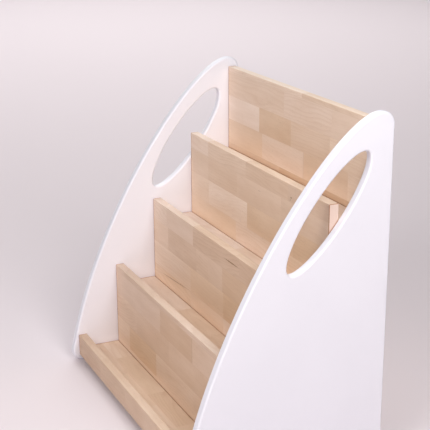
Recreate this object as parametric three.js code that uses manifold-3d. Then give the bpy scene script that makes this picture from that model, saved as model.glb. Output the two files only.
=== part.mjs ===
// Front-facing book rack: two side panels carry four pockets that rise like a staircase.
// Millimetres. +X points to the right-hand side panel, +Y to the back, +Z up.
// The origin is on the floor, in the middle of the footprint.

import * as THREE from 'three';
import { mergeVertices } from 'three/addons/utils/BufferGeometryUtils.js';
import Module from 'manifold-3d';

const wasm = await Module();
wasm.setup();

// ---------- driving dimensions ----------

const BOARD = 18; // thickness of every board and panel
const SEAM = 0.3; // gap at each joint face and round each fixing
const INNER_WIDTH = 600; // clear width between the side panels
const TIERS = 4;
const TIER_DEPTH = 92; // from one backboard to the next
const TIER_RISE = 140; // from one shelf to the next
const FIRST_SHELF_TOP = 31;
const BACKBOARD_HEIGHT = 200;
const LIP_HEIGHT = 48;
const LIP_SETBACK = 14; // front lip behind the panels' foremost point
const EASED_EDGE = 1.5; // radius on the long edges of the wooden boards

const PANEL = {
  depth: 406,
  height: 653,
  edgeRadius: 4, // on both faces, all round
  footRadius: 22, // both lower corners
  crownRadius: 23, // upper back corner
  lean: THREE.MathUtils.degToRad(11.5), // of the front edge, where it leaves the foot
  footPull: 314, // how far the front curve keeps to that lean
  crownPull: 85, // how far it keeps level at the top
};

const HAND_HOLE = {
  back: 76,
  up: 483,
  length: 254,
  width: 68,
  tilt: THREE.MathUtils.degToRad(53),
};

const DOWEL = { radius: 4, inPanel: 11, inBoard: 22, chamfer: 1 };
const BOLT = {
  threadRadius: 3,
  inPanel: 11,
  shaftRadius: 2.8,
  neckRadius: 1.8,
  neckLength: 3,
  headRadius: 3,
  headLength: 4,
  taper: 1,
};
const CAM = {
  radius: 7.3,
  height: 12.2,
  fromEnd: 34, // from the board's end to the cam's own axis
  slotWidth: 7,
  crossLength: 9,
  crossWidth: 1.6,
  crossDepth: 1.5,
};

const CAM_UP = 60; // above the lower edge of a backboard
const BACKBOARD_DOWEL_UP = 110;
const SHELF_DOWEL_SPREAD = 22; // each way from the middle of a shelf

const ROUND_SIDES = 12; // facets of dowels, bolts and their bores
const CAM_SIDES = 20;

// ---------- places worked out from them ----------

const FRONT = -PANEL.depth / 2;
const LIP_FRONT = FRONT + LIP_SETBACK;
const HALF_WIDTH = INNER_WIDTH / 2;
const BOARD_LENGTH = INNER_WIDTH - 2 * SEAM;
const SIDES = { left: -1, right: 1 };
const tiers = Array.from({ length: TIERS }, (_, i) => i + 1);

const shelfTop = (tier) => FIRST_SHELF_TOP + TIER_RISE * (tier - 1);
const shelfMiddleZ = (tier) => shelfTop(tier) - BOARD / 2;
const backboardFront = (tier) => LIP_FRONT + TIER_DEPTH * tier;
const backboardMiddleY = (tier) => backboardFront(tier) + BOARD / 2;
const backboardBottom = (tier) => shelfTop(tier) - BOARD;
const shelfMiddleY = (tier) => backboardFront(tier) - (TIER_DEPTH - BOARD) / 2;
const lipMiddle = { y: LIP_FRONT + BOARD / 2, z: backboardBottom(1) + LIP_HEIGHT / 2 };

// ---------- materials ----------

const finish = (color, roughness, metalness = 0) =>
  new THREE.MeshStandardMaterial({ color, roughness, metalness });

const LACQUER = () => finish(0xf6f4f6, 0.35);
const BIRCH = () => finish(0xd9b896, 0.5);
const BEECH = () => finish(0xc9a27a, 0.65);
const ZINC = () => finish(0xa9abae, 0.4, 0.9);
const STEEL = () => finish(0xc4c6c8, 0.3, 1);

// ---------- solids ----------

function toSolid(geometry) {
  const bare = geometry.clone();
  bare.deleteAttribute('normal');
  bare.deleteAttribute('uv');
  const merged = mergeVertices(bare, 1e-4);
  return new wasm.Manifold(new wasm.Mesh({
    numProp: 3,
    vertProperties: new Float32Array(merged.attributes.position.array),
    triVerts: new Uint32Array(merged.index.array),
  }));
}

function toGeometry(solid) {
  const { vertProperties, triVerts } = solid.getMesh();
  const geometry = new THREE.BufferGeometry();
  geometry.setAttribute('position', new THREE.BufferAttribute(vertProperties, 3));
  geometry.setIndex(new THREE.BufferAttribute(triVerts, 1));
  geometry.computeVertexNormals();
  return geometry;
}

function cut(geometry, cutters) {
  const solid = cutters.reduce((rest, cutter) => rest.subtract(toSolid(cutter)), toSolid(geometry));
  return toGeometry(solid);
}

// A shape drawn in depth (Y) and height (Z), extruded along X.
const ALONG_X = new THREE.Matrix4().makeBasis(
  new THREE.Vector3(0, 1, 0), new THREE.Vector3(0, 0, 1), new THREE.Vector3(1, 0, 0),
);

function roundBar(axis, radius, length, x, y, z, sides = ROUND_SIDES) {
  const bar = new THREE.CylinderGeometry(radius, radius, length, sides);
  if (axis === 'x') bar.rotateZ(Math.PI / 2);
  return bar.translate(x, y, z);
}

function box(width, depth, height, x, y, z) {
  return new THREE.BoxGeometry(width, depth, height).translate(x, y, z);
}

// ---------- where the fixings go ----------

// Every dowel and cam bolt crosses from a board end into a side panel at one of these places.
const dowelPlace = (name, y, z) => ({ name, y, z });
const dowelPlaces = [
  dowelPlace('front_lip', lipMiddle.y, lipMiddle.z),
  ...tiers.flatMap((tier) => [
    dowelPlace(`backboard_${tier}`, backboardMiddleY(tier), backboardBottom(tier) + BACKBOARD_DOWEL_UP),
    dowelPlace(`shelf_${tier}_front`, shelfMiddleY(tier) - SHELF_DOWEL_SPREAD, shelfMiddleZ(tier)),
    dowelPlace(`shelf_${tier}_back`, shelfMiddleY(tier) + SHELF_DOWEL_SPREAD, shelfMiddleZ(tier)),
  ]),
];

const camPlaces = tiers.map((tier) => ({
  tier,
  y: backboardMiddleY(tier),
  z: backboardBottom(tier) + CAM_UP,
}));

// A bore on the X axis, centred on the joint face, that reaches into the panel and the board.
function jointBore({ y, z }, side, radius, inPanel, inBoard) {
  const outer = HALF_WIDTH + inPanel + SEAM;
  const inner = HALF_WIDTH - inBoard - SEAM;
  return roundBar('x', radius + SEAM, outer - inner, side * (outer + inner) / 2, y, z);
}

const dowelBore = (place, side) =>
  jointBore(place, side, DOWEL.radius, DOWEL.inPanel, DOWEL.inBoard);
const boltBore = (place, side) =>
  jointBore(place, side, BOLT.threadRadius, BOLT.inPanel, CAM.fromEnd - CAM.radius);

// ---------- side panels ----------

function panelOutline() {
  const { height, footRadius: foot, crownRadius: crown, lean } = PANEL;
  const toe = new THREE.Vector2(FRONT + foot, foot);
  const heel = new THREE.Vector2(-FRONT - foot, foot);
  const top = new THREE.Vector2(-FRONT - crown, height - crown);

  // The front edge leaves the toe's arc at a slight lean and ends level at the top.
  const start = toe.clone().add(new THREE.Vector2(-Math.cos(lean), Math.sin(lean)).multiplyScalar(foot));
  const end = new THREE.Vector2(top.x, height);
  const startPull = new THREE.Vector2(Math.sin(lean), Math.cos(lean)).multiplyScalar(PANEL.footPull);
  const front = new THREE.CubicBezierCurve(
    start, start.clone().add(startPull), new THREE.Vector2(end.x - PANEL.crownPull, height), end,
  );

  const arc = (centre, radius, from, to) =>
    new THREE.EllipseCurve(centre.x, centre.y, radius, radius, from, to, to < from).getPoints(10);
  return [
    ...arc(toe, foot, 1.5 * Math.PI, Math.PI),
    ...arc(toe, foot, Math.PI, Math.PI - lean).slice(1, -1),
    ...front.getPoints(28),
    ...arc(top, crown, 0.5 * Math.PI, 0).slice(1),
    ...arc(heel, foot, 0, -0.5 * Math.PI),
  ].reverse();
}

function handHole() {
  const { back, up, length, width, tilt } = HAND_HOLE;
  return new THREE.Path().absellipse(back, up, length / 2, width / 2, 0, 2 * Math.PI, false, tilt);
}

function sidePanel(side) {
  const { edgeRadius } = PANEL;
  const outline = new THREE.Shape(panelOutline());
  outline.holes.push(handHole());
  const slab = new THREE.ExtrudeGeometry(outline, {
    depth: BOARD - 2 * edgeRadius,
    bevelThickness: edgeRadius,
    bevelSize: edgeRadius,
    bevelOffset: -edgeRadius,
    bevelSegments: 3,
    curveSegments: 20,
  });
  slab.translate(0, 0, edgeRadius + (side > 0 ? HALF_WIDTH : -HALF_WIDTH - BOARD));
  slab.applyMatrix4(ALONG_X);
  return cut(slab, [
    ...dowelPlaces.map((place) => dowelBore(place, side)),
    ...camPlaces.map((place) => boltBore(place, side)),
  ]);
}

// ---------- wooden boards ----------

// A board along X with eased long edges, given by the middle of its section.
function woodenBoard(depth, height, y, z) {
  const [w, h, r] = [depth / 2, height / 2, EASED_EDGE];
  const section = new THREE.Shape()
    .absarc(w - r, h - r, r, 0, 0.5 * Math.PI)
    .absarc(r - w, h - r, r, 0.5 * Math.PI, Math.PI)
    .absarc(r - w, r - h, r, Math.PI, 1.5 * Math.PI)
    .absarc(w - r, r - h, r, 1.5 * Math.PI, 2 * Math.PI);
  const bar = new THREE.ExtrudeGeometry(section, {
    depth: BOARD_LENGTH,
    bevelEnabled: false,
    curveSegments: 2,
  });
  return bar.translate(0, 0, -BOARD_LENGTH / 2).applyMatrix4(ALONG_X).translate(0, y, z);
}

const atBothEnds = (boresAt) => Object.values(SIDES).flatMap(boresAt);

function boredForDowels(board, name) {
  const places = dowelPlaces.filter((place) => place.name.startsWith(name));
  return cut(board, atBothEnds((side) => places.map((place) => dowelBore(place, side))));
}

function camPocket({ y, z }, side) {
  const depth = CAM.height + SEAM;
  const back = y + BOARD / 2;
  return roundBar('y', CAM.radius + SEAM, 2 * depth, side * (HALF_WIDTH - CAM.fromEnd), back, z, CAM_SIDES);
}

function backboard(tier) {
  const place = camPlaces[tier - 1];
  const middleZ = backboardBottom(tier) + BACKBOARD_HEIGHT / 2;
  const board = woodenBoard(BOARD, BACKBOARD_HEIGHT, backboardMiddleY(tier), middleZ);
  const bored = boredForDowels(board, `backboard_${tier}`);
  return cut(bored, atBothEnds((side) => [boltBore(place, side), camPocket(place, side)]));
}

function shelf(tier) {
  const depth = TIER_DEPTH - BOARD - 2 * SEAM;
  const board = woodenBoard(depth, BOARD, shelfMiddleY(tier), shelfMiddleZ(tier));
  return boredForDowels(board, `shelf_${tier}`);
}

function frontLip() {
  return boredForDowels(woodenBoard(BOARD, LIP_HEIGHT, lipMiddle.y, lipMiddle.z), 'front_lip');
}

// ---------- fixings, each drawn along +Y about its own origin ----------

// The origin is where the dowel crosses the joint face; +Y goes into the panel.
function dowel() {
  const { radius, inPanel, inBoard, chamfer } = DOWEL;
  const profile = [
    [0, -inBoard], [radius - chamfer, -inBoard], [radius, chamfer - inBoard],
    [radius, inPanel - chamfer], [radius - chamfer, inPanel], [0, inPanel],
  ];
  return new THREE.LatheGeometry(profile.map(([r, y]) => new THREE.Vector2(r, y)), ROUND_SIDES);
}

// The same origin: the thread is in the panel and the head is inside the cam.
function camBolt() {
  const { threadRadius, inPanel, shaftRadius, neckRadius, headRadius, taper } = BOLT;
  const tip = -CAM.fromEnd - BOLT.headLength / 2;
  const neck = tip + BOLT.headLength;
  const shaft = neck + BOLT.neckLength + taper;
  const profile = [
    [0, tip], [headRadius, tip], [headRadius, neck - taper], [neckRadius, neck],
    [neckRadius, shaft - taper], [shaftRadius, shaft], [shaftRadius, 0], [threadRadius, 0],
    [threadRadius, inPanel - taper], [threadRadius - taper, inPanel], [0, inPanel],
  ];
  return new THREE.LatheGeometry(profile.map(([r, y]) => new THREE.Vector2(r, y)), ROUND_SIDES);
}

// The origin is on the bolt's axis; +Y is the face with the cross recess, and the slot for the
// bolt opens towards +X.
function cam() {
  const { radius, height, slotWidth, crossLength, crossWidth } = CAM;
  const outer = BOARD / 2 - SEAM;
  const inner = outer - height;
  const slotDepth = slotWidth / 2 - inner + SEAM;
  return cut(roundBar('y', radius, height, 0, outer - height / 2, 0, CAM_SIDES), [
    box(2 * radius, slotDepth, slotWidth, radius - slotWidth / 2, (slotWidth - slotDepth) / 2, 0),
    box(crossLength, 2 * CAM.crossDepth, crossWidth, 0, outer, 0),
    box(crossWidth, 2 * CAM.crossDepth, crossLength, 0, outer, 0),
  ]);
}

// ---------- assembly ----------

const rack = new THREE.Group();

function add(name, geometry, material, x = 0, y = 0, z = 0) {
  const mesh = new THREE.Mesh(geometry, material);
  mesh.name = name;
  mesh.position.set(x, y, z);
  rack.add(mesh);
  return mesh;
}

for (const [sideName, side] of Object.entries(SIDES)) {
  add(`side_panel_${sideName}`, sidePanel(side), LACQUER());
}
add('front_lip', frontLip(), BIRCH());
for (const tier of tiers) {
  add(`shelf_${tier}`, shelf(tier), BIRCH());
  add(`backboard_${tier}`, backboard(tier), BIRCH());
}

for (const [sideName, side] of Object.entries(SIDES)) {
  const towardsPanel = -side * Math.PI / 2;
  for (const { name, y, z } of dowelPlaces) {
    add(`dowel_${name}_${sideName}`, dowel(), BEECH(), side * HALF_WIDTH, y, z)
      .rotation.z = towardsPanel;
  }
  for (const { tier, y, z } of camPlaces) {
    add(`cam_bolt_${tier}_${sideName}`, camBolt(), STEEL(), side * HALF_WIDTH, y, z)
      .rotation.z = towardsPanel;
    add(`cam_${tier}_${sideName}`, cam(), ZINC(), side * (HALF_WIDTH - CAM.fromEnd), y, z)
      .rotation.y = side > 0 ? 0 : Math.PI;
  }
}

export default rack;
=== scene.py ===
"""Looks of the front-facing book rack: two lacquered side panels and nine boards of glued birch staves.

Metres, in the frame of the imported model: +X to the right-hand panel, +Y to the back, +Z up.
"""

import math
import random

import bmesh
import bpy
from mathutils import Matrix, Vector
from mathutils.geometry import tessellate_polygon


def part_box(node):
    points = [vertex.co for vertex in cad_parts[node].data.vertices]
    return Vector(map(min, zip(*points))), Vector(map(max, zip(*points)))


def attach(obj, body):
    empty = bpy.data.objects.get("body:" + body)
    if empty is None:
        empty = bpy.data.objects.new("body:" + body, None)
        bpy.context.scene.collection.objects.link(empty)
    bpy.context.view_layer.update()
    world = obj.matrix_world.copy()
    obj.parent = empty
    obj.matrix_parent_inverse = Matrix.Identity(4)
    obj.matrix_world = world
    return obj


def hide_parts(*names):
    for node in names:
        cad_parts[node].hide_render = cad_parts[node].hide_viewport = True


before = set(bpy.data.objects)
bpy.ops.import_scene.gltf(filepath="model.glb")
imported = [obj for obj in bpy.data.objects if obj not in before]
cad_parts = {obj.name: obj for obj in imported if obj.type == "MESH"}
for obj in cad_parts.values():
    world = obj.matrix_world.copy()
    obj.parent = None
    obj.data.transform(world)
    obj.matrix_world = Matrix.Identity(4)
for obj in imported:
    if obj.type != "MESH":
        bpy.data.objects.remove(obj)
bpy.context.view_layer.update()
scene = bpy.context.scene

MM = 0.001
SIDES = {"left": -1, "right": 1}
TIERS = (1, 2, 3, 4)
CLEARANCE = 0.3 * MM  # round every dowel, bolt and cam
OVERSHOOT = 5 * MM  # how far a cutter stands out of the board that it cuts


def box(node):
    """The lowest corner, highest corner and middle of a CAD node."""
    low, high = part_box(node)
    return low, high, (low + high) / 2


# ---------- meshes ----------


class Shell:
    """Collects the faces of one closed mesh, each corner with the direction in which it faces."""

    def __init__(self):
        self.points = []
        self.faces = []
        self.facing = []

    def ring(self, points):
        """Adds points and returns their numbers."""
        first = len(self.points)
        self.points += [Vector(p) for p in points]
        return list(range(first, len(self.points)))

    def face(self, corners, facing):
        """Adds a face, turned so that it looks the way its corners say."""
        a, b, c = (self.points[i] for i in corners[:3])
        if (b - a).cross(c - a).dot(sum(facing, Vector())) < 0:
            corners, facing = corners[::-1], facing[::-1]
        self.faces.append(corners)
        self.facing += facing

    def band(self, ring, facing, next_ring, next_facing):
        """Joins two closed rings that have the same number of points."""
        for i in range(len(ring)):
            j = (i + 1) % len(ring)
            self.face(
                [ring[i], ring[j], next_ring[j], next_ring[i]],
                [facing[i], facing[j], next_facing[j], next_facing[i]],
            )

    def plate(self, rings, facing):
        """Fills the flat area between the first ring and the others, which are holes in it."""
        numbers = [i for ring in rings for i in ring]
        for triangle in tessellate_polygon([[self.points[i] for i in ring] for ring in rings]):
            self.face([numbers[i] for i in triangle], [facing] * 3)

    def object(self, name):
        """The collected faces as an object, shaded the way that their corners face."""
        mesh = bpy.data.meshes.new(name)
        mesh.from_pydata(self.points, [], self.faces)
        mesh.polygons.foreach_set("use_smooth", [True] * len(self.faces))
        mesh.normals_split_custom_set([tuple(f) for f in self.facing])
        return add_object(name, mesh)


def add_object(name, data):
    obj = bpy.data.objects.new(name, data)
    scene.collection.objects.link(obj)
    return obj


def loft(name, rings):
    """A closed mesh through rings of points, with a flat face at each end."""
    bm = bmesh.new()
    loops = [[bm.verts.new(p) for p in ring] for ring in rings]
    for a, b in zip(loops, loops[1:]):
        for i in range(len(a)):
            j = (i + 1) % len(a)
            bm.faces.new((a[i], a[j], b[j], b[i]))
    bm.faces.new(loops[0])
    bm.faces.new(loops[-1])
    bmesh.ops.recalc_face_normals(bm, faces=bm.faces)
    mesh = bpy.data.meshes.new(name)
    bm.to_mesh(mesh)
    bm.free()
    return add_object(name, mesh)


AXES = {"x": (1, 2, 0), "y": (0, 2, 1)}  # the two axes across a round bar, then its own


def circle(axis, centre, radius, place, sides):
    """Points of a circle across an axis; place is where it lies on that axis."""
    a, b, c = AXES[axis]
    points = []
    for i in range(sides):
        turn = 2 * math.pi * i / sides
        p = Vector()
        p[a] = centre[a] + radius * math.cos(turn)
        p[b] = centre[b] + radius * math.sin(turn)
        p[c] = place
        points.append(p)
    return points


def round_bar(axis, centre, radius, start, end, sides=32):
    rings = [circle(axis, centre, radius, place, sides) for place in (start, end)]
    return loft("cutter", rings)


def cuboid(low, high):
    rings = [
        [(x, low[1], low[2]), (x, high[1], low[2]), (x, high[1], high[2]), (x, low[1], high[2])]
        for x in (low[0], high[0])
    ]
    return loft("cutter", rings)


def cut(obj, cutters):
    """Takes the cutters out of obj, one after the other, and removes them."""
    for cutter in cutters:
        modifier = obj.modifiers.new("cut", "BOOLEAN")
        modifier.operation = "DIFFERENCE"
        modifier.solver = "EXACT"
        modifier.object = cutter
        graph = bpy.context.evaluated_depsgraph_get()
        mesh = bpy.data.meshes.new_from_object(obj.evaluated_get(graph))
        obj.modifiers.clear()
        obj.data = mesh
        bpy.data.objects.remove(cutter)
    return obj


SHARP = math.radians(35)  # a bigger turn between two faces is a sharp edge


def smooth(obj):
    """Shades rounded edges smooth and keeps the flat faces between them flat."""
    mesh = obj.data
    mesh.polygons.foreach_set("use_smooth", [True] * len(mesh.polygons))
    mesh.set_sharp_from_angle(angle=SHARP)
    modifier = obj.modifiers.new("flat faces", "WEIGHTED_NORMAL")
    modifier.mode = "FACE_AREA"
    modifier.weight = 100
    modifier.keep_sharp = True
    return obj


def present(obj, node):
    """The piece belongs to the rack, and stands for this CAD node."""
    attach(obj, "root")
    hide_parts(node)
    return obj


# ---------- fixings and their bores ----------


def bore_end(node, side, outward):
    """How far along X a fixing's bore reaches, towards or away from the middle of the rack."""
    low, high, _ = box(node)
    outer, inner = (high.x, low.x) if side > 0 else (low.x, high.x)
    return outer + side * CLEARANCE if outward else inner - side * CLEARANCE


def bore_radius(node):
    low, high, _ = box(node)
    return (high.z - low.z) / 2 + CLEARANCE


def fixings(board_name, side_name):
    """The CAD nodes of the dowels that join a board, or with no name every board, to a side panel."""
    start = f"dowel_{board_name}"
    return sorted(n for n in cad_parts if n.startswith(start) and n.endswith(side_name))


# ---------- side panels ----------

PANEL_EDGE = 4 * MM  # rounding of both faces, all round
FOOT = 22 * MM  # radius of both lower corners
CROWN = 23 * MM  # radius of the top corner, at the back
LEAN = math.radians(11.5)  # of the front edge, where it leaves the foot
FOOT_PULL = 314 * MM  # how long the front edge keeps that direction
CROWN_PULL = 85 * MM  # and how long it runs level before the crown
HOLE_CENTRE = Vector((76 * MM, 483 * MM))  # depth and height
HOLE_LENGTH = 254 * MM
HOLE_WIDTH = 68 * MM
HOLE_TILT = math.radians(53)
FRONT_STEPS = 120
EDGE_STEPS = 8


def arc(centre, radius, start, end, steps=24):
    """Points of an arc in depth and height, each with the direction that faces out of it."""
    points = []
    for i in range(steps + 1):
        turn = start + (end - start) * i / steps
        out = Vector((math.cos(turn), math.sin(turn)))
        points.append((centre + radius * out, out))
    return points


def bezier(a, b, c, d, steps):
    """Points between the ends of a cubic curve, each with the direction to the left of it."""
    points = []
    for i in range(1, steps):
        t = i / steps
        s = 1 - t
        point = s**3 * a + 3 * s * s * t * b + 3 * s * t * t * c + t**3 * d
        along = (s * s * (b - a) + 2 * s * t * (c - b) + t * t * (d - c)).normalized()
        points.append((point, Vector((-along.y, along.x))))
    return points


def panel_outline(low, high):
    """Toe, curved front edge, crown and heel, each point with the direction that faces out of it."""
    toe = Vector((low.y + FOOT, low.z + FOOT))
    heel = Vector((high.y - FOOT, low.z + FOOT))
    crown = Vector((high.y - CROWN, high.z - CROWN))
    toe_arc = arc(toe, FOOT, 1.5 * math.pi, math.pi - LEAN)
    crown_arc = arc(crown, CROWN, 0.5 * math.pi, 0)
    heel_arc = arc(heel, FOOT, 0, -0.5 * math.pi)
    start = toe_arc[-1][0]
    end = crown_arc[0][0]
    foot_handle = start + FOOT_PULL * Vector((math.sin(LEAN), math.cos(LEAN)))
    crown_handle = end - Vector((CROWN_PULL, 0))
    front = bezier(start, foot_handle, crown_handle, end, FRONT_STEPS)
    return toe_arc + front + crown_arc + heel_arc


def hand_hole(steps=160):
    """Points of the oval, each with the direction towards its middle."""
    along = Vector((math.cos(HOLE_TILT), math.sin(HOLE_TILT)))
    across = Vector((-along.y, along.x))
    a, b = HOLE_LENGTH / 2, HOLE_WIDTH / 2
    points = []
    for i in range(steps):
        turn = 2 * math.pi * i / steps
        point = HOLE_CENTRE + a * math.cos(turn) * along + b * math.sin(turn) * across
        inward = -(b * math.cos(turn) * along + a * math.sin(turn) * across).normalized()
        points.append((point, inward))
    return points


def rounded_edge(shell, outline, faces_x):
    """A rounded edge along an outline, from one face of the panel to the other.
    Returns the rings where it meets the two faces."""
    inner_x, outer_x = faces_x
    way = 1 if outer_x > inner_x else -1
    sections = []
    for step in range(EDGE_STEPS + 1):
        turn = 0.5 * math.pi * step / EDGE_STEPS
        sections.append((inner_x + way * PANEL_EDGE * (1 - math.cos(turn)), turn, -way))
    for step in range(EDGE_STEPS, -1, -1):
        turn = 0.5 * math.pi * step / EDGE_STEPS
        sections.append((outer_x - way * PANEL_EDGE * (1 - math.cos(turn)), turn, way))
    rings = []
    for x, turn, side in sections:
        inset = PANEL_EDGE * (1 - math.sin(turn))
        points = [(x, *(p - out * inset)) for p, out in outline]
        facing = [Vector((side * math.cos(turn), *(out * math.sin(turn)))) for _, out in outline]
        rings.append((shell.ring(points), facing))
    for (ring, facing), (next_ring, next_facing) in zip(rings, rings[1:]):
        shell.band(ring, facing, next_ring, next_facing)
    return rings[0][0], rings[-1][0]


def blind_bore(shell, node, side, face_x, sides=24):
    """A round bore for a fixing in a panel's inner face. Returns its rim."""
    _, _, middle = box(node)
    radius = bore_radius(node)
    rim = shell.ring(circle("x", middle, radius, face_x, sides))
    floor = shell.ring(circle("x", middle, radius, bore_end(node, side, True), sides))
    inward = [Vector((0, middle.y - shell.points[i].y, middle.z - shell.points[i].z)) for i in rim]
    inward = [v.normalized() for v in inward]
    shell.band(rim, inward, floor, inward)
    shell.face(floor, [Vector((-side, 0, 0))] * sides)
    return rim


def side_panel(side_name, side):
    """A panel with rounded edges, a hand hole and the blind bores of its fixings."""
    node = f"side_panel_{side_name}"
    low, high, _ = box(node)
    faces_x = (low.x, high.x) if side > 0 else (high.x, low.x)
    shell = Shell()
    outline_rings = rounded_edge(shell, panel_outline(low, high), faces_x)
    hole_rings = rounded_edge(shell, hand_hole(), faces_x)
    bolts = [f"cam_bolt_{tier}_{side_name}" for tier in TIERS]
    rims = [blind_bore(shell, n, side, faces_x[0]) for n in fixings("", side_name) + bolts]
    shell.plate([outline_rings[0], hole_rings[0], *rims], Vector((-side, 0, 0)))
    shell.plate([outline_rings[1], hole_rings[1]], Vector((side, 0, 0)))
    return present(shell.object(f"panel_{side_name}"), node)


# ---------- wooden boards ----------

EASED = 1.5 * MM  # radius of a board's long edges
EASED_END = 0.4 * MM  # chamfer round its ends
EASED_STEPS = 5


def board_section(x, low, high, inset):
    """A rectangle with rounded corners, across a board."""
    middle = (low + high) / 2
    half_y = (high.y - low.y) / 2 - EASED
    half_z = (high.z - low.z) / 2 - EASED
    radius = EASED - inset
    points = []
    for quarter, (sy, sz) in enumerate(((1, 1), (-1, 1), (-1, -1), (1, -1))):
        for step in range(EASED_STEPS + 1):
            turn = 0.5 * math.pi * (quarter + step / EASED_STEPS)
            y = middle.y + sy * half_y + radius * math.cos(turn)
            z = middle.z + sz * half_z + radius * math.sin(turn)
            points.append((x, y, z))
    return points


def board(node):
    """A board with eased edges and the bores of its fixings."""
    low, high, _ = box(node)
    rings = [
        board_section(low.x, low, high, EASED_END),
        board_section(low.x + EASED_END, low, high, 0),
        board_section(high.x - EASED_END, low, high, 0),
        board_section(high.x, low, high, EASED_END),
    ]
    obj = loft(f"{node}_wood", rings)
    for side_name, side in SIDES.items():
        past_end = side * (high.x + OVERSHOOT)
        bores = []
        for dowel in fixings(node, side_name):
            start = bore_end(dowel, side, False)
            bores.append(round_bar("x", box(dowel)[2], bore_radius(dowel), start, past_end))
        if node.startswith("backboard"):
            bores += cam_bores(node[-1], side_name, high.y, past_end)
        cut(obj, bores)
    return present(smooth(obj), node)


def cam_bores(tier, side_name, back, past_end):
    """The round pocket of a cam, open at the back of its board, and the bore of its bolt."""
    cam_low, cam_high, cam_middle = box(f"cam_{tier}_{side_name}")
    radius = (cam_high.z - cam_low.z) / 2 + CLEARANCE
    start = cam_low.y - CLEARANCE
    pocket = round_bar("y", cam_middle, radius, start, back + OVERSHOOT, sides=64)
    bolt = f"cam_bolt_{tier}_{side_name}"
    bolt_bore = round_bar("x", box(bolt)[2], bore_radius(bolt), cam_middle.x, past_end)
    return [pocket, bolt_bore]


# ---------- cams ----------

CAM_EDGE = 0.4 * MM
CAM_SIDES = 64
CAM_SLOT = 7 * MM  # width of the slot that takes the bolt's head
CROSS_LENGTH = 9 * MM
CROSS_WIDTH = 1.6 * MM
CROSS_DEPTH = 1.5 * MM


def cam(tier, side_name, side):
    """A round cam with a cross recess in its outer face and a slot that takes the bolt's head."""
    node = f"cam_{tier}_{side_name}"
    low, high, middle = box(node)
    radius = (high.z - low.z) / 2
    sections = ((radius, low.y), (radius, high.y - CAM_EDGE), (radius - CAM_EDGE, high.y))
    obj = loft(f"{node}_round", [circle("y", middle, r, y, CAM_SIDES) for r, y in sections])
    slot_end = middle.x + side * 2 * radius
    slot_start = middle.x - side * CAM_SLOT / 2
    bolt_y = box(f"cam_bolt_{tier}_{side_name}")[2].y
    slot_low = Vector((min(slot_start, slot_end), low.y - MM, middle.z - CAM_SLOT / 2))
    slot_high = Vector((max(slot_start, slot_end), bolt_y + CAM_SLOT / 2, middle.z + CAM_SLOT / 2))
    cutters = [cuboid(slot_low, slot_high)]
    for length, width in ((CROSS_LENGTH, CROSS_WIDTH), (CROSS_WIDTH, CROSS_LENGTH)):
        reach = Vector((length / 2, 0, width / 2))
        cross_low = Vector((middle.x, high.y - CROSS_DEPTH, middle.z)) - reach
        cross_high = Vector((middle.x, high.y + MM, middle.z)) + reach
        cutters.append(cuboid(cross_low, cross_high))
    return present(smooth(cut(obj, cutters)), node)


# ---------- materials ----------


class Look:
    """A material under construction. An input takes a number, a colour or another node's output."""

    def __init__(self, name):
        self.material = bpy.data.materials.new(name)
        self.material.use_nodes = True
        self.tree = self.material.node_tree
        self.surface = self.tree.nodes["Principled BSDF"]

    def node(self, kind, inputs=None, output=0, **settings):
        made = self.tree.nodes.new("ShaderNode" + kind)
        for key, value in settings.items():
            setattr(made, key, value)
        for key, value in (inputs or {}).items():
            self.feed(made.inputs[key], value)
        return made.outputs[output]

    def feed(self, socket, value):
        if isinstance(value, bpy.types.NodeSocket):
            self.tree.links.new(value, socket)
        else:
            socket.default_value = value

    def set(self, **inputs):
        """Feeds the surface shader; an underscore stands for a space."""
        for key, value in inputs.items():
            self.feed(self.surface.inputs[key.replace("_", " ")], value)

    def place(self):
        return self.node("TexCoord", output="Object")

    def normal(self):
        return self.node("NewGeometry", output="Normal")

    def xyz(self, vector):
        """The three parts of a vector."""
        made = self.tree.nodes.new("ShaderNodeSeparateXYZ")
        self.feed(made.inputs[0], vector)
        return made.outputs

    def math(self, operation, *values):
        return self.node("Math", dict(enumerate(values)), operation=operation)

    def plus(self, a, b):
        return self.math("ADD", a, b)

    def minus(self, a, b):
        return self.math("SUBTRACT", a, b)

    def times(self, a, b):
        return self.math("MULTIPLY", a, b)

    def larger(self, a, b):
        return self.math("MAXIMUM", a, b)

    def size_of(self, value):
        return self.math("ABSOLUTE", value)

    def mix(self, factor, a, b, blend="MIX"):
        inputs = {0: factor, 6: a, 7: b}
        return self.node("Mix", inputs, output=2, data_type="RGBA", blend_type=blend)

    def remap(self, value, start, end, to_start=0.0, to_end=1.0):
        """Takes value from one range to another, without leaving it."""
        inputs = {0: value, 1: start, 2: end, 3: to_start, 4: to_end}
        return self.node("MapRange", inputs, interpolation_type="SMOOTHSTEP")

    def steps(self, factor, stops):
        """Colour and alpha that change in steps, at (position, colour) stops."""
        made = self.tree.nodes.new("ShaderNodeValToRGB")
        self.feed(made.inputs[0], factor)
        made.color_ramp.interpolation = "CONSTANT"
        elements = made.color_ramp.elements
        elements[0].position, elements[0].color = stops[0]
        elements[1].position, elements[1].color = stops[-1]
        for position, color in stops[1:-1]:
            elements.new(position).color = color
        return made.outputs

    def vector(self, operation, a, b, output=0):
        return self.node("VectorMath", {0: a, 1: b}, output=output, operation=operation)

    def noise(self, place, scale, detail, roughness=0.5):
        """Cloudy noise; scale is one number, or three where it is stretched along an axis."""
        if isinstance(scale, tuple):
            place = self.vector("MULTIPLY", place, scale)
            scale = 1.0
        inputs = {"Vector": place, "Scale": scale, "Detail": detail, "Roughness": roughness}
        return self.node("TexNoise", inputs)

    def bump(self, height, distance, strength):
        inputs = {"Height": height, "Distance": distance, "Strength": strength}
        return self.node("Bump", inputs)


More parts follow.
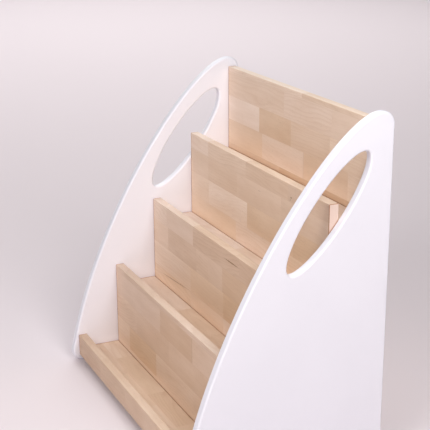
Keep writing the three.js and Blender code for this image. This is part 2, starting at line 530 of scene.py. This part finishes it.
LACQUER = (0.905, 0.879, 0.937, 1)
LACQUER_DULL = (0.89, 0.864, 0.922, 1)  # faint clouds in it
LACQUER_EDGE_SHADE = (0.85, 0.835, 0.91, 1)  # painted shade where the board turns away from its flat faces


def lacquer():
    """White lacquer on a smooth board: a faint orange peel, and painted shade that makes the rounded edges
    slightly greyer.
    """
    look = Look("white_lacquer")
    place = look.place()
    cloud = look.noise(place, 6.0, 3.0)
    peel = look.noise(place, 900.0, 2.0, 0.6)
    specks = look.noise(place, 2600.0, 1.0)
    flatness = look.size_of(look.xyz(look.normal())[0])
    tint = look.mix(look.remap(cloud, 0.35, 0.65), LACQUER_DULL, LACQUER)
    # Painted shade: the rounded and edge faces are greyer than the flat faces.
    tint = look.mix(look.remap(flatness, 0.9, 0.4, 0.0, 0.35), tint, LACQUER_EDGE_SHADE)
    roughness = look.remap(cloud, 0.3, 0.7, 0.34, 0.42)
    roughness = look.plus(roughness, look.remap(peel, 0.3, 0.7, -0.02, 0.02))
    height = look.plus(peel, look.times(specks, 0.25))
    look.set(Base_Color=tint, Roughness=roughness, Normal=look.bump(height, 0.02 * MM, 0.6))
    look.set(Specular_IOR_Level=0.45, Coat_Weight=0.12, Coat_Roughness=0.25)
    return look.material


# A board's staves, from its top or front edge: each row's far side in mm, then its staves from left
# to right as (right end in mm, tone, warmth). Tone goes from 0, dark, to 1, light; warmth from 0,
# greyish pink, to 1, orange tan.
# The tones were matched to the lit result, so besides each stave's own tone they hold painted light: the
# lower rows of the backboards and the staves beside the right panel are made lighter.
END = 600
STAVES = {
    "backboard_4": [
        (10, [(330, 0.70, 0.30), (END, 0.50, 0.35)]),
        (63.5, [(257, 0.58, 0.30), (445, 0.62, 0.20), (END, 0.58, 0.25)]),
        (116.5, [(148, 0.95, 0.25), (288, 0.44, 0.60), (440, 0.54, 0.35), (END, 0.80, 0.50)]),
        (170, [(163, 0.72, 0.55), (340, 0.85, 0.25), (508, 0.68, 0.50), (END, 0.95, 0.45)]),
        (200, [(240, 0.52, 0.45), (END, 0.30, 0.65)]),
    ],
    "backboard_3": [
        (34, [(90, 0.74, 0.25), (270, 0.50, 0.40), (447, 0.34, 0.40), (END, 0.30, 0.25)]),
        (85, [(90, 0.52, 0.40), (230, 0.40, 0.45), (420, 0.44, 0.40), (END, 0.40, 0.35)]),
        (138, [(92, 0.78, 0.50), (277, 0.95, 0.40), (470, 0.55, 0.65), (END, 0.48, 0.75)]),
        (200, [(227, 0.75, 0.60), (400, 0.85, 0.30), (END, 0.72, 0.60)]),
    ],
    "backboard_2": [
        (43, [(75, 0.52, 0.15), (215, 0.36, 0.15), (430, 0.16, 0.25), (END, 0.10, 0.25)]),
        (94, [(80, 0.50, 0.30), (230, 0.25, 0.25), (290, 0.35, 0.30), (355, 0.38, 0.25), (END, 0.20, 0.50)]),
        (148, [(200, 0.72, 0.40), (360, 0.54, 0.60), (END, 0.35, 0.75)]),
        (200, [(200, 0.64, 0.55), (360, 0.64, 0.45), (END, 0.74, 0.30)]),
    ],
    "backboard_1": [
        (11, [(350, 0.18, 0.05), (END, 0.28, 0.00)]),
        (63.5, [(255, 0.26, 0.10), (415, 0.05, 0.40), (END, 0.28, 0.20)]),
        (119.5, [(120, 0.32, 0.30), (300, 0.18, 0.30), (470, 0.25, 0.30), (END, 0.30, 0.30)]),
        (173, [(75, 0.54, 0.45), (228, 0.34, 0.75), (420, 0.56, 0.35), (END, 0.56, 0.35)]),
        (200, [(310, 0.66, 0.45), (END, 0.66, 0.45)]),
    ],
    "front_lip": [
        (48, [(140, 0.05, 0.15), (290, 0.10, 0.25), (455, 0.16, 0.25), (END, 0.20, 0.30)]),
    ],
    "shelf_1": [
        (33, [(170, 0.45, 0.50), (330, 0.50, 0.55), (490, 0.45, 0.50), (END, 0.50, 0.50)]),
        (74, [(90, 0.46, 0.40), (280, 0.30, 0.50), (430, 0.18, 0.45), (END, 0.20, 0.45)]),
    ],
    "shelf_2": [
        (27, [(120, 0.45, 0.60), (300, 0.50, 0.65), (460, 0.45, 0.60), (END, 0.50, 0.55)]),
        (74, [(210, 0.52, 0.25), (390, 0.28, 0.45), (END, 0.30, 0.45)]),
    ],
    "shelf_3": [
        (45, [(180, 0.55, 0.55), (350, 0.50, 0.60), (520, 0.55, 0.55), (END, 0.50, 0.50)]),
        (74, [(100, 0.84, 0.05), (270, 0.72, 0.10), (440, 0.52, 0.25), (END, 0.55, 0.40)]),
    ],
    "shelf_4": [
        (20, [(150, 0.60, 0.50), (320, 0.55, 0.60), (500, 0.55, 0.55), (END, 0.52, 0.50)]),
        (74, [(230, 0.50, 0.55), (400, 0.40, 0.45), (END, 0.62, 0.20)]),
    ],
}

# Marks in a board: (from left in mm, down in mm, length in mm, width in mm, tilt in degrees, darkness).
MARKS = {
    "backboard_3": [(461, 25, 7, 4, 0, 0.8), (458, 30, 9, 3, 30, 0.4), (332, 46, 14, 1.6, 0, 0.4)],
    "backboard_2": [(397, 20, 80, 3.2, 0, 1.0), (118, 154, 200, 3.2, 4.4, 0.6)],
}
RAGGED = 0.9  # how uneven the rim of a mark is

JOINT = 0.3 * MM  # glue line between two staves


def stave_steps(look, across, row, draw):
    """One row of staves. Returns its colour, which holds tone, warmth and a number of its own for
    each stave, and its alpha, which is 0 on the glue lines."""
    stops = []
    start = 0.0
    for end, tone, warmth in row:
        colour = (tone, warmth, draw.random())
        stops.append((start, (*colour, 1)))
        stops.append((end / END - JOINT / (END * MM), (*colour, 0)))
        start = end / END
    stops[-1] = (1.0, stops[-1][1])
    return look.steps(across, stops)


def staves(look, across, down, rows, draw):
    """Tone, warmth, each stave's own number, and a mask that is 1 on the glue lines."""
    colour, alpha = stave_steps(look, across, rows[0][1], draw)
    lines = 0.0
    for (far_side, _), (_, row) in zip(rows, rows[1:]):
        border = far_side * MM
        past = look.math("GREATER_THAN", down, border)
        row_colour, row_alpha = stave_steps(look, across, row, draw)
        colour = look.mix(past, colour, row_colour)
        alpha = look.node("Mix", {0: past, 2: alpha, 3: row_alpha}, data_type="FLOAT")
        line = look.math("LESS_THAN", look.size_of(look.minus(down, border)), JOINT / 2)
        lines = look.larger(lines, line)
    joint = look.larger(lines, look.minus(1.0, alpha))
    parts = look.tree.nodes.new("ShaderNodeSeparateColor")
    look.feed(parts.inputs[0], colour)
    return *parts.outputs[:3], joint


RINGS_PER_METRE = 135.0
RING_WANDER = 0.05  # how far a growth ring strays from its circle, in metres
PITH_LEAN = 0.32  # how much the pith's slope differs between staves
PITH_SPREAD = 0.19  # and its height, in metres
PITH_NEAR = 0.03  # nearest distance of the pith behind a stave, in metres
PITH_FAR = 0.07  # and how much deeper it may lie


def growth_rings(look, place, own, number):
    """Rings round a pith that lies outside the stave and runs at a slight slope to it."""
    x, y, z = look.xyz(place)
    wander = look.times(look.noise(own, (5.0, 22.0, 22.0), 2.0), RING_WANDER)
    slope = look.times(look.minus(number, 0.5), PITH_LEAN)
    pith = look.plus(look.times(number, PITH_SPREAD), look.times(x, slope))
    deep = look.plus(y, look.plus(look.times(number, PITH_FAR), PITH_NEAR))
    high = look.plus(z, pith)
    radius = look.math("SQRT", look.plus(look.times(deep, deep), look.times(high, high)))
    radius = look.plus(radius, wander)
    phase = look.math("FRACT", look.times(radius, RINGS_PER_METRE))
    rings = look.times(look.remap(phase, 0.35, 0.92), look.remap(phase, 1.0, 0.93))
    # Some staves show their rings well and others hardly at all.
    shown = look.remap(look.math("FRACT", look.times(number, 7.3)), 0.2, 0.9, 0.15, 1.0)
    return look.times(rings, shown)


def grain(look, place, number):
    """Figure of flat-sawn birch, different in each stave: rings, streaks, fibres, flecks, cloud."""
    shift = look.node("VectorMath", {0: (3.7, 2.3, 5.1), "Scale": number}, operation="SCALE")
    own = look.vector("ADD", place, shift)
    rings = growth_rings(look, place, own, number)
    streaks = look.noise(own, (7.0, 150.0, 150.0), 2.0)
    fibres = look.noise(own, (14.0, 700.0, 700.0), 3.0, 0.65)
    flecks = look.remap(look.noise(own, (90.0, 1500.0, 1500.0), 1.0), 0.66, 0.74)
    cloud = look.noise(own, (9.0, 30.0, 30.0), 3.0, 0.55)
    return rings, streaks, fibres, flecks, cloud


def marks(look, across, down, spots):
    """Dark knots and streaks, as a mask. Across and down are in metres."""
    found = 0.0
    flat = look.node("CombineXYZ", {0: across, 1: down, 2: 0.0})
    rough = look.noise(flat, (160.0, 900.0, 1.0), 2.0)
    uneven = look.times(look.minus(rough, 0.5), RAGGED)
    for left, depth, length, width, tilt, dark in spots:
        inputs = {
            "Vector": flat,
            "Location": (left * MM, depth * MM, 0),
            "Rotation": (0, 0, -math.radians(tilt)),
            "Scale": (length * MM / 2, width * MM / 2, 1),
        }
        local = look.node("Mapping", inputs, vector_type="TEXTURE")
        away = look.vector("LENGTH", local, (0, 0, 0), output="Value")
        found = look.larger(found, look.remap(look.plus(away, uneven), 1.0, 0.3, 0.0, dark))
    return found


PALE = (0.865, 0.682, 0.565, 1)  # greyish pink stave
TAN = (0.875, 0.646, 0.445, 1)  # warm stave
END_GRAIN = (0.92, 0.72, 0.62, 1)  # a board's sawn ends
TOP_SHEEN_TINT = (0.97, 1.01, 1.06, 1)  # painted sheen: faces that look up are made a little paler and less orange, as if they reflected a bright backdrop
BROWN = (0.27, 0.125, 0.05, 1)  # knots, streaks, glue lines and pores
SEAM_SHADE_BROWN = (0.42, 0.155, 0.05, 1)  # painted shade in the crevices where boards meet, and along their ends

DARKEST = 0.79  # light of a stave of tone 0
TONE_RANGE = 0.315  # what tone 1 adds to that
GREEN_POWER = 1.5  # a darker stave loses more green than red,
BLUE_POWER = 2.1  # and more blue than green
CLOUD_DEPTH = 0.034
RING_DEPTH = 0.046
STREAK_DEPTH = 0.009
FIBRE_DEPTH = 0.008


def stave_colour(look, tone, warmth, rings, streaks, fibres, cloud):
    """The wood itself, before its pores, marks and seams."""
    light = look.plus(look.times(tone, TONE_RANGE), DARKEST)
    light = look.plus(light, look.remap(cloud, 0.25, 0.75, -CLOUD_DEPTH, CLOUD_DEPTH))
    light = look.minus(light, look.times(rings, RING_DEPTH))
    light = look.plus(light, look.remap(streaks, 0.3, 0.7, -STREAK_DEPTH, STREAK_DEPTH))
    light = look.plus(light, look.remap(fibres, 0.3, 0.7, -FIBRE_DEPTH, FIBRE_DEPTH))
    green = look.math("POWER", light, GREEN_POWER)
    blue = look.math("POWER", light, BLUE_POWER)
    level = look.node("CombineXYZ", {0: light, 1: green, 2: blue})
    return look.mix(1.0, look.mix(warmth, PALE, TAN), level, "MULTIPLY")


SEAM_SHADE_REACH = 4.0 * MM  # how far from the bottom of a crevice its painted shade reaches
SEAM_SHADE_STRENGTH = 0.65
END_SHADE_START = 2.8 * MM  # from a board's end, where the painted shade line along it begins
END_SHADE_FULL = 1.6 * MM  # and where it is darkest
END_SHADE_STRENGTH = 0.9


def painted_seam_shade(look, x, end_x, end_face):
    """A mask of painted shade: ambient occlusion in the crevices between boards, and a dark line along a
    board's ends.
    """
    # Painted shade: the occlusion by nearby faces darkens the crevices.
    crevice = look.node("AmbientOcclusion", {"Distance": SEAM_SHADE_REACH}, output="AO", samples=8)
    crevice_shade = look.times(look.remap(crevice, 0.75, 0.4), SEAM_SHADE_STRENGTH)
    start, full = end_x - END_SHADE_START, end_x - END_SHADE_FULL
    # Painted shade along a board's ends, where it meets a side panel.
    line = look.remap(look.size_of(x), start, full, 0.0, END_SHADE_STRENGTH)
    line = look.times(line, look.minus(1.0, end_face))
    return look.larger(crevice_shade, line)


PORE_STAIN = 0.22
JOINT_STAIN = 0.16
END_STAIN = 0.3


def birch(node):
    """Glued birch staves under a thin matt varnish, laid out as in this board."""
    look = Look(f"birch_{node}")
    low, high, middle = box(node)
    place = look.place()
    x, y, z = look.xyz(place)
    across = look.math("DIVIDE", look.minus(x, low.x), high.x - low.x)
    down = look.minus(y, low.y) if node.startswith("shelf") else look.minus(high.z, z)
    tone, warmth, number, joint = staves(look, across, down, STAVES[node], random.Random(node))
    rings, streaks, fibres, flecks, cloud = grain(look, place, number)
    colour = stave_colour(look, tone, warmth, rings, streaks, fibres, cloud)

    facing_x, _, facing_z = look.xyz(look.normal())
    # Painted sheen on the faces that look up.
    top_sheen = look.mix(1.0, colour, TOP_SHEEN_TINT, "MULTIPLY")
    colour = look.mix(look.remap(facing_z, 0.6, 0.9), colour, top_sheen)
    end_face = look.remap(look.size_of(facing_x), 0.7, 0.9)
    colour = look.mix(end_face, colour, END_GRAIN)

    stain = look.larger(look.times(flecks, PORE_STAIN), look.times(joint, JOINT_STAIN))
    end_stain = look.times(end_face, look.remap(fibres, 0.5, 0.8, 0.0, END_STAIN))
    stain = look.larger(stain, end_stain)
    if node in MARKS:
        front = look.math("LESS_THAN", y, middle.y)
        found = marks(look, look.times(across, END * MM), down, MARKS[node])
        stain = look.larger(stain, look.times(found, front))
    colour = look.mix(stain, colour, BROWN)
    # Painted shade in the crevices between boards and along their ends.
    colour = look.mix(painted_seam_shade(look, x, high.x, end_face), colour, SEAM_SHADE_BROWN)

    relief = look.minus(look.times(fibres, 0.5), look.times(flecks, 0.6))
    relief = look.minus(relief, look.times(joint, 0.8))
    roughness = look.plus(look.remap(fibres, 0.3, 0.7, 0.42, 0.52), look.times(stain, 0.25))
    look.set(Base_Color=colour, Roughness=roughness, Normal=look.bump(relief, 0.05 * MM, 0.7))
    look.set(Specular_IOR_Level=0.4)
    return look.material


BEECH_DARK = (0.50, 0.31, 0.18, 1)
BEECH_LIGHT = (0.66, 0.45, 0.28, 1)
BEECH_FLECK = (0.28, 0.15, 0.07, 1)


def beech():
    """Plain turned beech with short flecks along it."""
    look = Look("beech_dowel")
    place = look.place()
    fibres = look.noise(place, (30.0, 900.0, 900.0), 3.0, 0.6)
    flecks = look.remap(look.noise(place, (220.0, 2400.0, 2400.0), 1.0), 0.6, 0.7)
    colour = look.mix(look.remap(fibres, 0.3, 0.7), BEECH_DARK, BEECH_LIGHT)
    colour = look.mix(look.times(flecks, 0.5), colour, BEECH_FLECK)
    look.set(Base_Color=colour, Roughness=look.remap(fibres, 0.3, 0.7, 0.55, 0.7))
    look.set(Normal=look.bump(fibres, 0.08 * MM, 0.8))
    return look.material


def metal(name, bright, dull, roughness, stretch):
    """Plated metal: cloudy, with fine marks of working."""
    look = Look(name)
    place = look.place()
    cloud = look.noise(place, 260.0, 3.0, 0.6)
    scratches = look.noise(place, stretch, 2.0)
    wear = look.remap(cloud, 0.3, 0.7, -0.07, 0.07)
    wear = look.plus(wear, look.remap(scratches, 0.3, 0.7, -0.04, 0.04))
    look.set(Base_Color=look.mix(look.remap(cloud, 0.35, 0.65), dull, bright))
    look.set(Roughness=look.plus(wear, roughness), Normal=look.bump(scratches, 0.01 * MM, 0.7))
    look.set(Metallic=1.0)
    return look.material


def paint(obj, material):
    """Gives the whole object one material."""
    obj.data.materials.clear()
    obj.data.materials.append(material)


# ---------- build the rack ----------

white = lacquer()
for side_name, side in SIDES.items():
    paint(side_panel(side_name, side), white)

for node in STAVES:
    paint(board(node), birch(node))

zinc = metal("zinc", (0.62, 0.63, 0.64, 1), (0.42, 0.43, 0.45, 1), 0.42, (900.0, 900.0, 900.0))
for tier in TIERS:
    for side_name, side in SIDES.items():
        paint(cam(tier, side_name, side), zinc)

steel = metal("steel", (0.66, 0.66, 0.67, 1), (0.5, 0.5, 0.52, 1), 0.3, (1800.0, 120.0, 120.0))
dowel_wood = beech()
for name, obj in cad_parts.items():
    if name.startswith("dowel"):
        paint(obj, dowel_wood)
    elif name.startswith("cam_bolt"):
        paint(obj, steel)


# ---------- floor, light and camera ----------

FLOOR_REACH = 60.0
FLOOR_DROP = 0.2 * MM  # keeps the floor just clear of the rack's feet


def stage_floor():
    corners = [(x * FLOOR_REACH, y * FLOOR_REACH) for x, y in ((-1, -1), (1, -1), (1, 1), (-1, 1))]
    mesh = bpy.data.meshes.new("floor")
    mesh.from_pydata([(x, y, -FLOOR_DROP) for x, y in corners], [], [(0, 1, 2, 3)])
    floor = add_object("floor", mesh)
    look = Look("floor")
    look.set(Base_Color=(0.80, 0.719, 0.746, 1), Roughness=0.8, Specular_IOR_Level=0.1)
    paint(floor, look.material)


def area_light(name, place, target, size, power):
    """A square soft light that shines from place towards target."""
    data = bpy.data.lights.new(name, "AREA")
    data.shape = "SQUARE"
    data.size = size
    data.energy = power
    lamp = add_object(name, data)
    lamp.visible_camera = False
    lamp.location = place
    lamp.rotation_euler = (Vector(target) - Vector(place)).to_track_quat("-Z", "Y").to_euler()


def turned_camera(place, azimuth, elevation, roll, lens):
    """Azimuth 0 looks along +Y and 90 along -X; elevation is above the horizon."""
    a, e, r = (math.radians(v) for v in (azimuth, elevation, roll))
    back = Vector((math.sin(a) * math.cos(e), -math.cos(a) * math.cos(e), math.sin(e)))
    level = Vector((math.cos(a), math.sin(a), 0))
    up = back.cross(level)
    right = math.cos(r) * level + math.sin(r) * up
    up = math.cos(r) * up - math.sin(r) * level
    data = bpy.data.cameras.new("camera")
    data.lens = lens
    data.sensor_width = 36
    camera = add_object("camera", data)
    turn = Matrix((right, up, back)).transposed().to_4x4()
    camera.matrix_world = Matrix.Translation(place) @ turn
    scene.camera = camera


def studio_world(strength):
    """Faint even light from all round."""
    world = bpy.data.worlds.new("studio")
    world.use_nodes = True
    background = world.node_tree.nodes["Background"]
    background.inputs["Color"].default_value = (1, 1, 1, 1)
    background.inputs["Strength"].default_value = strength
    scene.world = world


stage_floor()
studio_world(0.07)
turned_camera((1.8850, -0.8663, 1.0616), azimuth=65.165, elevation=17.677, roll=-0.225, lens=92.84)

# Each light's place, what it points at, its width in metres and its power in watts.
RACK = (0, 0, 0.3)
area_light("front", (1.3, -2.4, 2.0), RACK, 1.2, 27.5)
area_light("front_near", (0.5, -1.6, 1.7), (0, 0, 0.5), 0.8, 8.5)
area_light("right", (2.6, 0, 1.9), RACK, 1.2, 14)
area_light("right_front", (2.4, -0.6, 2.0), RACK, 1.2, 9.5)
area_light("right_top", (1.2, 0.1, 1.6), (0.3, 0, 0.4), 0.6, 11.7)
area_light("floor_left", (-2.3, 0.1, 2.2), (-2.3, 0.1, 0), 1.5, 4)
area_light("floor_near", (-4.5, 1.5, 4.5), (-4.5, 1.5, 0), 6.0, 157)
area_light("floor_middle", (-6, 2, 5), (-6, 2, 0), 6.0, 146)
area_light("floor_far", (-8, 1, 4.5), (-8, 1, 0), 6.0, 93)

scene.view_settings.view_transform = "Standard"
